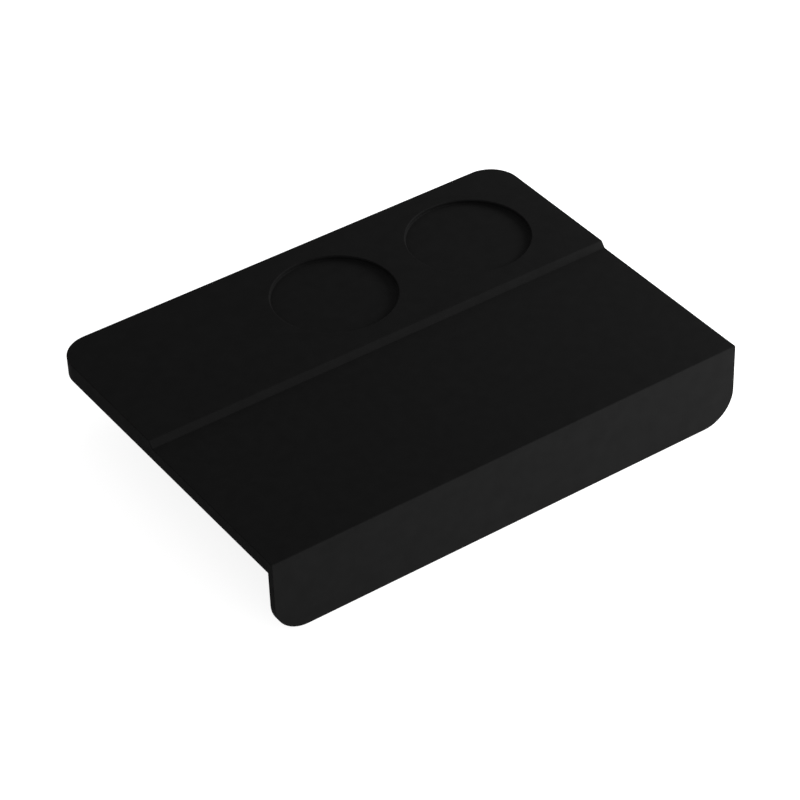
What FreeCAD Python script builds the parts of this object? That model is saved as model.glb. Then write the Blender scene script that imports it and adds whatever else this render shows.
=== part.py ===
"""Tamper mat: one piece of moulded silicone that lies on a counter and hooks over its front edge.

The mat is an L in section. The long leg lies on the counter: a thin work zone in front, where the
portafilter is pressed down, and behind a sloped step a thicker zone with two round seats for the tamper
and the distributor. The short leg is the skirt, which hangs in front of the counter and stops the mat
from sliding back.

Millimetres. The origin is where the counter's top meets its front face, in the middle of the mat's width:
+X runs to the right along the counter's edge, +Y back over the counter and +Z up.
"""

import FreeCAD, Part
import os

import Sketcher

# Driving sizes: each is set here and nowhere else
SIZES = {
    "mat_width": (250.0, "left side to right side"),
    "mat_depth": (181.8, "skirt's front face to the rear side"),
    "rear_thickness": (9.4, "the zone with the seats"),
    "work_thickness": (6.5, "the work zone in front of the step"),
    "step_run": (2.3, "how far the step's slope leans back"),
    "skirt_thickness": (3.6, "wall of the skirt"),
    "skirt_reach": (34.5, "how far the skirt hangs below the counter's top"),
    "rear_corner_radius": (15.5, "the two rear corners, seen from above"),
    "skirt_corner_radius": (16.3, "the skirt's two lower corners, seen from the front"),
    "tool_diameter": (58.0, "base of the tamper and of the distributor"),
    "tool_clearance": (1.0, "free space all round a tool's base in its seat"),
    "seat_depth": (2.0, "rear zone's top to the seat's floor"),
    "seat_web": (16.6, "solid web between the walls of the two seats"),
    "side_margin": (18.2, "right seat's wall to the right side"),
    "rear_margin": (12.2, "seat's wall to the rear side"),
    "step_margin": (11.3, "seat's wall to the top of the step"),
    "seat_rim_radius": (0.5, "rounding where the seat's wall meets the top"),
    "seat_foot_radius": (0.6, "hollow rounding where the seat's wall meets its floor"),
    "step_brow_radius": (1.0, "rounding at the top of the step"),
    "step_foot_radius": (0.8, "hollow rounding at the foot of the step"),
    "fold_radius": (0.6, "rounding where the work zone turns down into the skirt"),
    "edge_radius": (0.3, "rounding of the outer face's rim, all the way round"),
}

# Sizes that follow from the driving ones, as expressions on the sheet
REAR_Y = "(sizes.mat_depth - sizes.skirt_thickness)"
SEAT_RADIUS = "(sizes.tool_diameter / 2 + sizes.tool_clearance)"
SEAT_Y = f"({REAR_Y} - sizes.rear_margin - {SEAT_RADIUS})"
STEP_BROW_Y = f"({SEAT_Y} - {SEAT_RADIUS} - sizes.step_margin)"
STEP_FOOT_Y = f"({STEP_BROW_Y} - sizes.step_run)"
RIGHT_SEAT_X = f"(sizes.mat_width / 2 - sizes.side_margin - {SEAT_RADIUS})"
SEAT_PITCH = f"(2 * {SEAT_RADIUS} + sizes.seat_web)"

# The sketcher's names for a line's two ends, an arc's centre and the sketch's own origin
START, END, CENTRE = 1, 2, 3
SKETCH_ORIGIN = (-1, START)

# How close two coordinates have to be to count as the same place
SAME_PLACE = 1e-4

CUBIC_MM_PER_CM3 = 1000


def make_sheet(doc):
    """Writes the driving sizes to a spreadsheet, one row each: name, value, meaning."""
    sheet = doc.addObject("Spreadsheet::Sheet", "sizes")
    for row, (name, (value, meaning)) in enumerate(SIZES.items(), start=1):
        sheet.set(f"A{row}", name)
        sheet.set(f"B{row}", str(value))
        sheet.set(f"C{row}", meaning)
        sheet.setAlias(f"B{row}", name)
    doc.recompute()
    return sheet


def worked_out(thing, expression):
    """The number that an expression on the sheet comes to, in millimetres."""
    return float(thing.evalExpression(expression))


def new_sketch(body, name, plane_role):
    """A sketch on one of the body's own origin planes."""
    plane = next(datum for datum in body.Origin.OriginFeatures if datum.Role == plane_role)
    sketch = body.newObject("Sketcher::SketchObject", name)
    sketch.AttachmentSupport = [(plane, "")]
    sketch.MapMode = "FlatFace"
    return sketch


def add_dimension(sketch, name, kind, places, expression):
    """Adds a named dimension between places of a sketch and ties it to the sheet."""
    value = worked_out(sketch, expression)
    index = sketch.addConstraint(Sketcher.Constraint(kind, *places, value))
    sketch.renameConstraint(index, name)
    sketch.setExpression(f"Constraints.{name}", expression)


def draw_section(body):
    """The mat's section: the sketch's x is the mat's Y, and its y is the mat's Z."""
    sketch = new_sketch(body, "section", "YZ_Plane")
    sizes = body.Document.sizes
    rear_y = worked_out(sketch, REAR_Y)
    corners = [
        (0, 0),
        (rear_y, 0),
        (rear_y, sizes.rear_thickness),
        (worked_out(sketch, STEP_BROW_Y), sizes.rear_thickness),
        (worked_out(sketch, STEP_FOOT_Y), sizes.work_thickness),
        (-sizes.skirt_thickness, sizes.work_thickness),
        (-sizes.skirt_thickness, -sizes.skirt_reach),
        (0, -sizes.skirt_reach),
    ]
    points = [FreeCAD.Vector(along, up, 0) for along, up in corners]
    for near, far in zip(points, points[1:] + points[:1]):
        sketch.addGeometry(Part.LineSegment(near, far))
    underside, rear, rear_top, slope, work_top, skirt_front, skirt_tip, skirt_back = range(len(points))

    for line in range(len(points)):
        following = (line + 1) % len(points)
        sketch.addConstraint(Sketcher.Constraint("Coincident", line, END, following, START))
    sketch.addConstraint(Sketcher.Constraint("Coincident", underside, START, *SKETCH_ORIGIN))
    for line in (underside, rear_top, work_top, skirt_tip):
        sketch.addConstraint(Sketcher.Constraint("Horizontal", line))
    for line in (rear, skirt_front, skirt_back):
        sketch.addConstraint(Sketcher.Constraint("Vertical", line))

    along = "DistanceX"
    up = "DistanceY"
    add_dimension(sketch, "counter_leg", along, (underside, START, underside, END), REAR_Y)
    add_dimension(sketch, "step_brow", along, (*SKETCH_ORIGIN, slope, START), STEP_BROW_Y)
    add_dimension(sketch, "step_foot", along, (*SKETCH_ORIGIN, slope, END), STEP_FOOT_Y)
    add_dimension(sketch, "skirt_wall", along, (skirt_tip, START, skirt_tip, END), "sizes.skirt_thickness")
    add_dimension(sketch, "rear_height", up, (rear, START, rear, END), "sizes.rear_thickness")
    add_dimension(sketch, "work_height", up, (*SKETCH_ORIGIN, work_top, START), "sizes.work_thickness")
    add_dimension(sketch, "skirt_height", up, (skirt_back, START, skirt_back, END), "sizes.skirt_reach")
    return sketch


def extrude_section(body):
    """Draws the section out to the mat's width, half to each side."""
    section = draw_section(body)
    pad = body.newObject("PartDesign::Pad", "mat_block")
    pad.Profile = section
    pad.Midplane = True
    pad.setExpression("Length", "sizes.mat_width")
    body.Document.recompute()
    return pad


def sunk_seats(body):
    """Sinks the two round seats into the rear zone's top."""
    sketch = new_sketch(body, "seat_plan", "XY_Plane")
    sketch.setExpression(".AttachmentOffset.Base.z", "sizes.rear_thickness")
    radius = worked_out(sketch, SEAT_RADIUS)
    right_x = worked_out(sketch, RIGHT_SEAT_X)
    left_x = right_x - worked_out(sketch, SEAT_PITCH)
    seat_y = worked_out(sketch, SEAT_Y)
    upward = FreeCAD.Vector(0, 0, 1)
    right = sketch.addGeometry(Part.Circle(FreeCAD.Vector(right_x, seat_y, 0), upward, radius))
    left = sketch.addGeometry(Part.Circle(FreeCAD.Vector(left_x, seat_y, 0), upward, radius))
    sketch.addConstraint(Sketcher.Constraint("Horizontal", left, CENTRE, right, CENTRE))
    sketch.addConstraint(Sketcher.Constraint("Equal", right, left))
    add_dimension(sketch, "seat_radius", "Radius", (right,), SEAT_RADIUS)
    add_dimension(sketch, "right_seat_x", "DistanceX", (*SKETCH_ORIGIN, right, CENTRE), RIGHT_SEAT_X)
    add_dimension(sketch, "seat_pitch", "DistanceX", (left, CENTRE, right, CENTRE), SEAT_PITCH)
    add_dimension(sketch, "seat_y", "DistanceY", (*SKETCH_ORIGIN, right, CENTRE), SEAT_Y)

    volume_before = body.Shape.Volume
    pocket = body.newObject("PartDesign::Pocket", "seats")
    pocket.Profile = sketch
    pocket.setExpression("Length", "sizes.seat_depth")
    body.Document.recompute()
    if pocket.Shape.Volume >= volume_before:
        raise RuntimeError("the seats cut nothing out of the mat")
    return pocket


def same(value, target):
    """True if two coordinates are the same place."""
    return abs(value - target) < SAME_PLACE


def runs_along(edge, axis):
    """True if the edge is a straight one along the row's X, Y or Z."""
    box = edge.BoundBox
    spans = {"X": box.XLength, "Y": box.YLength, "Z": box.ZLength}
    others = [span for name, span in spans.items() if name != axis]
    return spans[axis] > SAME_PLACE and all(same(span, 0) for span in others)


def round_edges(body, name, radius_size, wanted):
    """Rounds those edges of the body so far that the wanted test picks, by a size from the sheet."""
    base = body.Tip
    names = [f"Edge{number}" for number, edge in enumerate(base.Shape.Edges, start=1) if wanted(edge)]
    if not names:
        raise RuntimeError(f"{name}: no edge to round")
    fillet = body.newObject("PartDesign::Fillet", name)
    fillet.Base = (base, names)
    fillet.setExpression("Radius", f"sizes.{radius_size}")
    body.Document.recompute()
    print(f"{name}: radius {float(fillet.Radius)} mm, edges picked: {len(names)}")
    return fillet


def round_outline_corners(body):
    """Rounds the two rear corners, seen from above, and the skirt's lower corners, seen from the front."""
    sizes = body.Document.sizes
    rear_y = worked_out(body, REAR_Y)

    def rear_corner(edge):
        return runs_along(edge, "Z") and same(edge.BoundBox.YMax, rear_y)

    def skirt_corner(edge):
        return runs_along(edge, "Y") and same(edge.BoundBox.ZMin, -sizes.skirt_reach)

    round_edges(body, "rear_corners", "rear_corner_radius", rear_corner)
    round_edges(body, "skirt_corners", "skirt_corner_radius", skirt_corner)


def round_section_corners(body):
    """Rounds the top and the foot of the step, and the fold where the work zone turns down into the skirt."""
    sizes = body.Document.sizes

    def line_at(y, z):
        def wanted(edge):
            box = edge.BoundBox
            return runs_along(edge, "X") and same(box.YMin, y) and same(box.ZMin, z)

        return wanted

    brow = line_at(worked_out(body, STEP_BROW_Y), sizes.rear_thickness)
    foot = line_at(worked_out(body, STEP_FOOT_Y), sizes.work_thickness)
    fold = line_at(-sizes.skirt_thickness, sizes.work_thickness)
    round_edges(body, "step_brow", "step_brow_radius", brow)
    round_edges(body, "step_foot", "step_foot_radius", foot)
    round_edges(body, "fold", "fold_radius", fold)


def round_seats(body):
    """Rounds each seat's rim outward and its foot inward."""
    sizes = body.Document.sizes
    radius = worked_out(body, SEAT_RADIUS)

    def seat_circle_at(z):
        def wanted(edge):
            is_circle = isinstance(edge.Curve, Part.Circle)
            return is_circle and same(edge.Curve.Radius, radius) and same(edge.BoundBox.ZMax, z)

        return wanted

    seat_floor = sizes.rear_thickness - sizes.seat_depth
    round_edges(body, "seat_feet", "seat_foot_radius", seat_circle_at(seat_floor))
    round_edges(body, "seat_rims", "seat_rim_radius", seat_circle_at(sizes.rear_thickness))


def round_outer_rim(body):
    """Rounds the outer face's rim: from the rear edge it runs on, wherever edges flow on, all round."""
    sizes = body.Document.sizes
    rear_y = worked_out(body, REAR_Y)

    def rear_rim(edge):
        box = edge.BoundBox
        return runs_along(edge, "X") and same(box.YMin, rear_y) and same(box.ZMin, sizes.rear_thickness)

    round_edges(body, "outer_rim", "edge_radius", rear_rim)


def make_mat(doc):
    """The whole mat, as one body."""
    body = doc.addObject("PartDesign::Body", "mat")
    body.Label = "mat"
    body.Placement = FreeCAD.Placement()
    extrude_section(body)
    round_outline_corners(body)
    round_section_corners(body)
    sunk_seats(body)
    round_seats(body)
    round_outer_rim(body)
    return body


def check_document(doc, pieces):
    """Stops if an object of the document failed or a piece is not one sound solid."""
    for thing in doc.Objects:
        faults = {"Invalid", "Error"} & set(thing.State)
        if faults:
            raise RuntimeError(f"{thing.Label} is marked {sorted(faults)}")
    for piece in pieces:
        shape = piece.Shape
        if shape.isNull() or not shape.isValid() or len(shape.Solids) != 1:
            raise RuntimeError(f"{piece.Label} is not one valid solid")


def main():
    doc = FreeCAD.newDocument("tamper_mat")
    make_sheet(doc)
    pieces = [make_mat(doc)]
    doc.recompute()
    check_document(doc, pieces)
    os.makedirs("parts", exist_ok=True)
    for piece in pieces:
        box = piece.Shape.optimalBoundingBox(True, False)
        spans = [round(span, 2) for span in (box.XLength, box.YLength, box.ZLength)]
        volume = piece.Shape.Volume / CUBIC_MM_PER_CM3
        print(f"{piece.Label}: {spans} mm, {volume:.1f} cm3, {len(piece.Shape.Faces)} faces")
        piece.Shape.exportStep(f"parts/{piece.Label}.step")


main()
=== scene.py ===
# %% [markdown]
# # A black silicone tamper mat
#
# The mat lies on a kitchen counter and hooks over its front edge. A barista presses ground coffee on the
# thin zone in front, and the two round seats behind the step hold the tamper and the distributor.
#
# The real mat is one piece of moulded silicone, so this lesson has one object to dress. Its shape comes
# from a construction model in metres. The work here is what that model doesn't hold: the fine finish of the
# rubber, the light that shows it, and the camera.

# %% Load the mat
import math

import bpy
from mathutils import Matrix, Vector


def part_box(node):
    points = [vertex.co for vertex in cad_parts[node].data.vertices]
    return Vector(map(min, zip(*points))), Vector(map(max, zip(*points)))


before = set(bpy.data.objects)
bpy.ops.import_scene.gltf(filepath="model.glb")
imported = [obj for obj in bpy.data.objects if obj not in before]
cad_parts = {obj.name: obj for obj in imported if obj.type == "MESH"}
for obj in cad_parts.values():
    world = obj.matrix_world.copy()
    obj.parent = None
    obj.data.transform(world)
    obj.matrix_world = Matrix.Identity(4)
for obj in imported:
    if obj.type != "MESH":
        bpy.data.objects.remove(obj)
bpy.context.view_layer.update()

MM = 0.001
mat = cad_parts["mat"]
mat_low, mat_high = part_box("mat")
print("mat, metres:", [round(value, 4) for value in mat_high - mat_low])

# %% [markdown]
# ## The camera
#
# The photograph looks down on the mat from the front left, through a long lens. A camera could be placed by
# eye and moved until the outlines agree. Here it was worked out: the straight edges and the rounded corners
# of the mat fix its heading, its dip and its roll, the lens, the distance, and the point that lies in the
# middle of the picture. The lens and its sensor are in millimetres, and all else is in metres.
#
# A long lens far away keeps parallel edges nearly parallel. A short lens close by would make the near
# corner look too big.

# %% Turn the camera
CAMERA_HEADING = math.radians(-33.558)
CAMERA_DIP = math.radians(38.355)
CAMERA_ROLL = math.radians(-2.139)


def camera_axes(heading, dip, roll):
    """The picture's right, up and ahead directions."""
    level_right = Vector((math.cos(heading), math.sin(heading), 0))
    level_ahead = Vector((-math.sin(heading), math.cos(heading), 0))
    ahead = level_ahead * math.cos(dip) - Vector((0, 0, math.sin(dip)))
    level_up = level_right.cross(ahead)
    right = level_right * math.cos(roll) + level_up * math.sin(roll)
    return right, right.cross(ahead), ahead


right, up, ahead = camera_axes(CAMERA_HEADING, CAMERA_DIP, CAMERA_ROLL)
print("camera looks along", [round(value, 3) for value in ahead])

# %% Place the camera
SENSOR_WIDTH = 36.0
FOCAL_LENGTH = 135.99
CAMERA_DISTANCE = 1.37434
PICTURE_MIDDLE = Vector((-4.48, 77.04, -13.94)) * MM

lens = bpy.data.cameras.new("long_lens")
lens.sensor_width = SENSOR_WIDTH
lens.lens = FOCAL_LENGTH
camera = bpy.data.objects.new("camera", lens)
turn = Matrix((right, up, -ahead)).transposed().to_4x4()
camera.matrix_world = Matrix.Translation(PICTURE_MIDDLE - ahead * CAMERA_DISTANCE) @ turn
bpy.context.scene.collection.objects.link(camera)
bpy.context.scene.camera = camera
print("camera at", [round(value, 3) for value in camera.location])

# %% [markdown]
# ## The silicone
#
# Black silicone rubber is matt. The mould's spark-eroded wall leaves a fine even grain, finer than a grain
# of salt, and the rubber settles into very shallow swells a few centimetres wide as it cures. The grain
# breaks up the gloss, so that the mat shows no sharp reflection.
#
# An image of rubber could be laid over the mat, but it would stretch on the step and show its edges. Noise
# in the object's own space has no seams, and its scale is a real size: a noise texture's scale is about one
# over the size of its grains in metres.

# %% Node helpers
NOISE_LOW = 0.3
NOISE_HIGH = 0.7


def add_node(tree, kind, **values):
    """A node with its settings and inputs set by name."""
    node = tree.nodes.new(kind)
    for name, value in values.items():
        if name in node.inputs:
            node.inputs[name].default_value = value
        else:
            setattr(node, name, value)
    return node


def grains(tree, place, size, detail):
    """Noise whose grains measure about the given size in metres."""
    noise = add_node(tree, "ShaderNodeTexNoise", Scale=1 / size, Detail=detail)
    tree.links.new(place, noise.inputs["Vector"])
    return noise.outputs["Fac"]


def spread(tree, noise, low, high):
    """Stretches the middle of a noise, where most of its values lie, to the range from low to high."""
    settings = {"From Min": NOISE_LOW, "From Max": NOISE_HIGH, "To Min": low, "To Max": high}
    node = add_node(tree, "ShaderNodeMapRange", **settings)
    tree.links.new(noise, node.inputs["Value"])
    return node.outputs["Result"]


def add_bump(tree, noise, height, below=None):
    """Bump of a real height in metres, on top of another bump if there is one."""
    bump = add_node(tree, "ShaderNodeBump", Strength=1.0, Distance=height)
    tree.links.new(noise, bump.inputs["Height"])
    if below:
        tree.links.new(below, bump.inputs["Normal"])
    return bump.outputs["Normal"]


# %% [markdown]
# Three scales of noise make the rubber. Patches of about half a centimetre change the black and the
# roughness a little, as the pigment and a hand's touch do. The mould's grain of a third of a millimetre is
# bump. Under it lie the shallow swells of the cured rubber, which make a long reflection waver instead of
# running dead straight.
#
# Plain plastic has a specular level of 0.5, and rubber is not far from it. But everything around this mat
# is white, and that much gloss would turn its deep black to grey. The photograph shows no such haze, so the
# level is very low here, and the lamps and the black itself give each face its brightness.

# %% Make the silicone
RUBBER_BLACK = 0.0065
BLACK_SWING = 0.0004
ROUGHNESS_LOW = 0.59
ROUGHNESS_HIGH = 0.65
RUBBER_SPECULAR = 0.0053
PATCH_SIZE = 6 * MM
PATCH_DETAIL = 4
SWELL_SIZE = 28 * MM
SWELL_DETAIL = 1
SWELL_HEIGHT = 0.03 * MM
GRAIN_SIZE = 0.34 * MM
GRAIN_DETAIL = 2
GRAIN_HEIGHT = 0.012 * MM


def make_silicone():
    """Nearly black rubber, a little patchy, with bump for its swells and its grain."""
    material = bpy.data.materials.new("black_silicone")
    material.use_nodes = True
    tree = material.node_tree
    place = add_node(tree, "ShaderNodeTexCoord").outputs["Object"]
    patches = grains(tree, place, PATCH_SIZE, PATCH_DETAIL)
    black = spread(tree, patches, RUBBER_BLACK - BLACK_SWING, RUBBER_BLACK + BLACK_SWING)
    roughness = spread(tree, patches, ROUGHNESS_HIGH, ROUGHNESS_LOW)
    swells = add_bump(tree, grains(tree, place, SWELL_SIZE, SWELL_DETAIL), SWELL_HEIGHT)
    grain = add_bump(tree, grains(tree, place, GRAIN_SIZE, GRAIN_DETAIL), GRAIN_HEIGHT, below=swells)

    rubber = tree.nodes["Principled BSDF"]
    rubber.inputs["Specular IOR Level"].default_value = RUBBER_SPECULAR
    tree.links.new(black, rubber.inputs["Base Color"])
    tree.links.new(roughness, rubber.inputs["Roughness"])
    tree.links.new(grain, rubber.inputs["Normal"])
    return material


silicone = make_silicone()
mat.data.materials.clear()
mat.data.materials.append(silicone)
print(silicone.name, "on", mat.name, "with", len(mat.data.polygons), "faces")

# %% [markdown]
# ## The floor
#
# The photograph's background is plain white. A white floor could be made by more and more light, but then
# the light on the mat would wash out its black. Here the floor is a light grey surface that takes part in
# the lighting, with a plain white glow added for the rays that show the background. So it looks white, and
# it still darkens in the mat's shadow.
#
# The rays that show the background are the camera's own, and those that come to it by way of a gloss or
# through glass. All other rays carry light from one surface to the next, and they don't see the glow.

# %% Pick the rays that show the background
def sees_background(tree):
    """1 for rays from the camera and for those by way of gloss or glass, and 0 for all others."""
    path = add_node(tree, "ShaderNodeLightPath")
    either = add_node(tree, "ShaderNodeMath", operation="MAXIMUM")
    any_of_three = add_node(tree, "ShaderNodeMath", operation="MAXIMUM")
    tree.links.new(path.outputs["Is Camera Ray"], either.inputs[0])
    tree.links.new(path.outputs["Is Glossy Ray"], either.inputs[1])
    tree.links.new(either.outputs[0], any_of_three.inputs[0])
    tree.links.new(path.outputs["Is Transmission Ray"], any_of_three.inputs[1])
    return any_of_three.outputs[0]


# %% Make the floor's material
FLOOR_GREY = 0.4
FLOOR_GLOW = 0.84


def make_white_floor():
    """Grey paint that glows white for the background's rays, and is clear when it is seen from below."""
    material = bpy.data.materials.new("white_floor")
    material.use_nodes = True
    tree = material.node_tree
    tree.nodes.clear()
    paint = add_node(tree, "ShaderNodeBsdfDiffuse", Color=(FLOOR_GREY, FLOOR_GREY, FLOOR_GREY, 1))
    glow = add_node(tree, "ShaderNodeEmission")
    strength = add_node(tree, "ShaderNodeMath", operation="MULTIPLY")
    strength.inputs[1].default_value = FLOOR_GLOW
    tree.links.new(sees_background(tree), strength.inputs[0])
    tree.links.new(strength.outputs[0], glow.inputs["Strength"])
    upper_side = add_node(tree, "ShaderNodeAddShader")
    tree.links.new(paint.outputs[0], upper_side.inputs[0])
    tree.links.new(glow.outputs[0], upper_side.inputs[1])

    lower_side = add_node(tree, "ShaderNodeBsdfTransparent")
    side = add_node(tree, "ShaderNodeNewGeometry")
    sheet = add_node(tree, "ShaderNodeMixShader")
    tree.links.new(side.outputs["Backfacing"], sheet.inputs["Fac"])
    tree.links.new(upper_side.outputs[0], sheet.inputs[1])
    tree.links.new(lower_side.outputs[0], sheet.inputs[2])
    output = add_node(tree, "ShaderNodeOutputMaterial")
    tree.links.new(sheet.outputs[0], output.inputs["Surface"])
    return material


# %% [markdown]
# The floor lies at the skirt's lowest point. A camera that looks up from below sees through it, so that the
# mat's underside can be looked at too.

# %% Lay the floor
FLOOR_SIZE = 12.0
half = FLOOR_SIZE / 2
corners = [(-half, -half, 0), (half, -half, 0), (half, half, 0), (-half, half, 0)]
floor_mesh = bpy.data.meshes.new("floor")
floor_mesh.from_pydata(corners, [], [(0, 1, 2, 3)])
floor = bpy.data.objects.new("floor", floor_mesh)
floor.location.z = mat_low.z
bpy.context.scene.collection.objects.link(floor)
floor.data.materials.append(make_white_floor())
print("floor at", round(floor.location.z, 4))

# %% [markdown]
# ## The light
#
# The photograph's own shadows tell where its light stands. In each seat the right wall throws a shadow to
# the left. It is full for twice the seat's depth and has faded out at four or five times, so the soft box
# stands on the right, and it reaches from about 12 to 26 degrees up. It is close to the mat, because the
# right end of every face is clearly brighter than the left end.

# %% The key light
KEY_HEADING = math.radians(-10)
KEY_HEIGHT = math.radians(19)
KEY_DISTANCE = 0.6
KEY_WIDTH = 0.6
KEY_TALL = 0.15
KEY_POWER = 5.9
mat_middle = (mat_low + mat_high) / 2


def soft_box(name, heading, height, distance, width, tall, power):
    """A flat soft light that faces the mat's middle, out of the camera's sight."""
    box = bpy.data.lights.new(name, "AREA")
    box.shape = "RECTANGLE"
    box.size = width
    box.size_y = tall
    box.energy = power
    lamp = bpy.data.objects.new(name, box)
    level = Vector((math.cos(heading), math.sin(heading), 0))
    towards_light = level * math.cos(height) + Vector((0, 0, math.sin(height)))
    lamp.location = mat_middle + towards_light * distance
    lamp.rotation_euler = towards_light.to_track_quat("Z", "Y").to_euler()
    lamp.visible_camera = False
    bpy.context.scene.collection.objects.link(lamp)
    return lamp


key = soft_box("key_light", KEY_HEADING, KEY_HEIGHT, KEY_DISTANCE, KEY_WIDTH, KEY_TALL, KEY_POWER)
print(key.name, "at", [round(value, 2) for value in key.location])

# %% [markdown]
# The skirt is the brightest face of all, and the step's slope comes next, but the seats' back walls are
# dark. All of these face the front. A soft box in front would light them alike, and the top with them. What
# tells them apart is how open they lie to a lamp that stands very low: the skirt and the step see it, the
# top sees it edge on, and the rims of the seats hide it from the walls inside.
#
# So two low strips stand in front. One is no higher than the mat and lights the skirt. The other begins
# where the first one ends, looks over the work zone and lights the step.

# %% Two low strips
SKIRT_STRIP_HEADING = math.radians(-50)
SKIRT_STRIP_DISTANCE = 0.35
SKIRT_STRIP_WIDTH = 0.6
SKIRT_STRIP_FOOT = -32 * MM
SKIRT_STRIP_TOP = 4 * MM
SKIRT_STRIP_POWER = 1.13
STEP_STRIP_HEADING = math.radians(-85)
STEP_STRIP_DISTANCE = 0.5
STEP_STRIP_WIDTH = 0.9
STEP_STRIP_FOOT = SKIRT_STRIP_TOP
STEP_STRIP_TOP = 24 * MM
STEP_STRIP_POWER = 2.54


def low_strip(name, heading, distance, width, foot, top, power):
    """An upright strip of light that reaches from one height to another."""
    strip = soft_box(name, heading, height=0, distance=distance, width=width, tall=top - foot, power=power)
    strip.location.z = (foot + top) / 2
    print(name, "at", [round(value, 3) for value in strip.location])


low_strip("skirt_strip", SKIRT_STRIP_HEADING, SKIRT_STRIP_DISTANCE, SKIRT_STRIP_WIDTH,
          SKIRT_STRIP_FOOT, SKIRT_STRIP_TOP, SKIRT_STRIP_POWER)
low_strip("step_strip", STEP_STRIP_HEADING, STEP_STRIP_DISTANCE, STEP_STRIP_WIDTH,
          STEP_STRIP_FOOT, STEP_STRIP_TOP, STEP_STRIP_POWER)

# %% [markdown]
# Plain grey light from all around keeps the shadows open. The rays that show the background see the
# surround as white, as they see the floor.

# %% The grey surround
SURROUND_GREY = 0.57
BACKGROUND_WHITE = 1.0

world = bpy.data.worlds.new("surround")
bpy.context.scene.world = world
world.use_nodes = True
world_tree = world.node_tree
greys = {"To Min": SURROUND_GREY, "To Max": BACKGROUND_WHITE}
strength = add_node(world_tree, "ShaderNodeMapRange", **greys)
surround = world_tree.nodes["Background"]
surround.inputs["Color"].default_value = (1, 1, 1, 1)
world_tree.links.new(sees_background(world_tree), strength.inputs["Value"])
world_tree.links.new(strength.outputs["Result"], surround.inputs["Strength"])
print(world.name, "with a strength of", SURROUND_GREY)

# %% [markdown]
# ## Finish
#
# The picture's colours are kept as they are written.

# %% Colours and the end
bpy.context.scene.view_settings.view_transform = "Standard"
